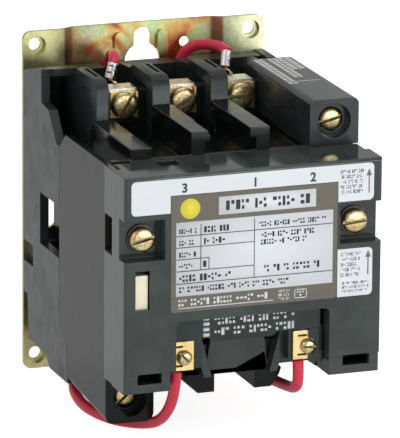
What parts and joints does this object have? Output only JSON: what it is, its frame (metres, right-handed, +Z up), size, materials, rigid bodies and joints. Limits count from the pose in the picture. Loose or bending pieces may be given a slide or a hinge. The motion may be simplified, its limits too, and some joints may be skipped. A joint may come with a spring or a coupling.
{
  "type": "panel-mount magnetic contactor",
  "caption": "Panel-mount magnetic contactor with top and bottom screw terminals, removable coil cover, auxiliary contact block and a keyhole-slotted steel mounting plate.",
  "frame": {"origin": "centre of the four mounting holes, on the panel plane behind the mounting plate", "axes": "+X to the right seen from the front, +Y into the panel, +Z up; the contactor stands in front of the panel at negative Y"},
  "size_m": [0.0916, 0.1142, 0.123],
  "materials": {
    "chromate_steel": "zinc plated sheet with iridescent yellow chromate",
    "dark_phenolic": "moulded dark grey phenolic",
    "gloss_phenolic": "polished dark grey phenolic",
    "coil_moulding": "glossy green-black encapsulation",
    "carrier_plastic": "black glass-filled moulding",
    "cream_plastic": "cream indicator plastic",
    "nameplate_foil": "printed aluminium plate, taupe and white",
    "white_label": "white printed label",
    "brass": "bright brass",
    "plated_clamp": "brass pressure plate",
    "chromate_screw": "steel screw with yellow chromate",
    "lamination_steel": "riveted steel laminations",
    "copper": "copper strip",
    "spring_steel": "plated spring wire",
    "black_rubber": "soft rubber pad",
    "red_pvc": "red PVC insulation",
    "tinned_sleeve": "tinned copper crimp sleeve"
  },
  "bodies": {
    "base": {"mounting_plate": "chromate_steel", "rear_base": "dark_phenolic", "contact_housing": "dark_phenolic", "contact_deck": "dark_phenolic", "coil_housing": "dark_phenolic", "front_cover": "gloss_phenolic", "rating_nameplate": "nameplate_foil", "terminal_label": "white_label", "coil_notice_label": "white_label", "line_terminal_clamps": "plated_clamp", "load_terminal_clamps": "plated_clamp", "line_terminal_screws": "chromate_screw", "load_terminal_screws": "chromate_screw", "base_screws": "chromate_screw", "upper_corner_screw": "chromate_screw", "lower_corner_screw": "chromate_screw", "cover_screws": "chromate_screw", "cover_screw_washers": "chromate_screw", "magnet_core": "lamination_steel", "shading_rings": "copper", "magnet_cushion": "black_rubber", "coil": "coil_moulding", "coil_terminals": "brass", "coil_terminal_screws": "brass", "auxiliary_block": "dark_phenolic", "auxiliary_fixed_contacts": "brass", "auxiliary_spring": "spring_steel", "return_spring_left": "spring_steel", "return_spring_right": "spring_steel", "left_wire": "red_pvc", "right_wire": "red_pvc", "left_wire_ferrule": "tinned_sleeve", "right_wire_ferrule": "tinned_sleeve", "line_terminal_1": "brass", "load_terminal_1": "brass", "line_terminal_2": "brass", "load_terminal_2": "brass", "line_terminal_3": "brass", "load_terminal_3": "brass"},
    "carrier": {"contact_carrier": "carrier_plastic", "armature": "lamination_steel", "armature_pin": "spring_steel", "indicator_flag": "cream_plastic", "contact_spring_1": "spring_steel", "contact_spring_2": "spring_steel", "contact_spring_3": "spring_steel"},
    "bridge_1": {"contact_bridge_1": "brass"},
    "bridge_2": {"contact_bridge_2": "brass"},
    "bridge_3": {"contact_bridge_3": "brass"},
    "auxiliary": {"auxiliary_plunger": "carrier_plastic", "auxiliary_bridge": "brass"}
  },
  "joints": [
    {"name": "carrier_travel", "type": "slide", "parent": "base", "child": "carrier", "axis": [0, 0, -1], "range_m": [0, 0.0045], "stiffness_N_per_m": 900, "springref_m": -0.006, "deforming": ["return_spring_left", "return_spring_right"]},
    {"name": "bridge_1_wipe", "type": "slide", "parent": "carrier", "child": "bridge_1", "axis": [0, 0, 1], "range_m": [0, 0.0013], "deforming": ["contact_spring_1"]},
    {"name": "bridge_2_wipe", "type": "slide", "parent": "carrier", "child": "bridge_2", "axis": [0, 0, 1], "range_m": [0, 0.0013], "deforming": ["contact_spring_2"]},
    {"name": "bridge_3_wipe", "type": "slide", "parent": "carrier", "child": "bridge_3", "axis": [0, 0, 1], "range_m": [0, 0.0013], "deforming": ["contact_spring_3"]},
    {"name": "auxiliary_travel", "type": "slide", "parent": "base", "child": "auxiliary", "axis": [0, 0, -1], "range_m": [0, 0.0045], "deforming": ["auxiliary_spring"]}
  ],
  "couplings": [
    {"joint": "bridge_1_wipe", "follows": "carrier_travel", "ratio": 0.2888},
    {"joint": "bridge_2_wipe", "follows": "carrier_travel", "ratio": 0.2888},
    {"joint": "bridge_3_wipe", "follows": "carrier_travel", "ratio": 0.2888},
    {"joint": "auxiliary_travel", "follows": "carrier_travel", "ratio": 1}
  ]
}
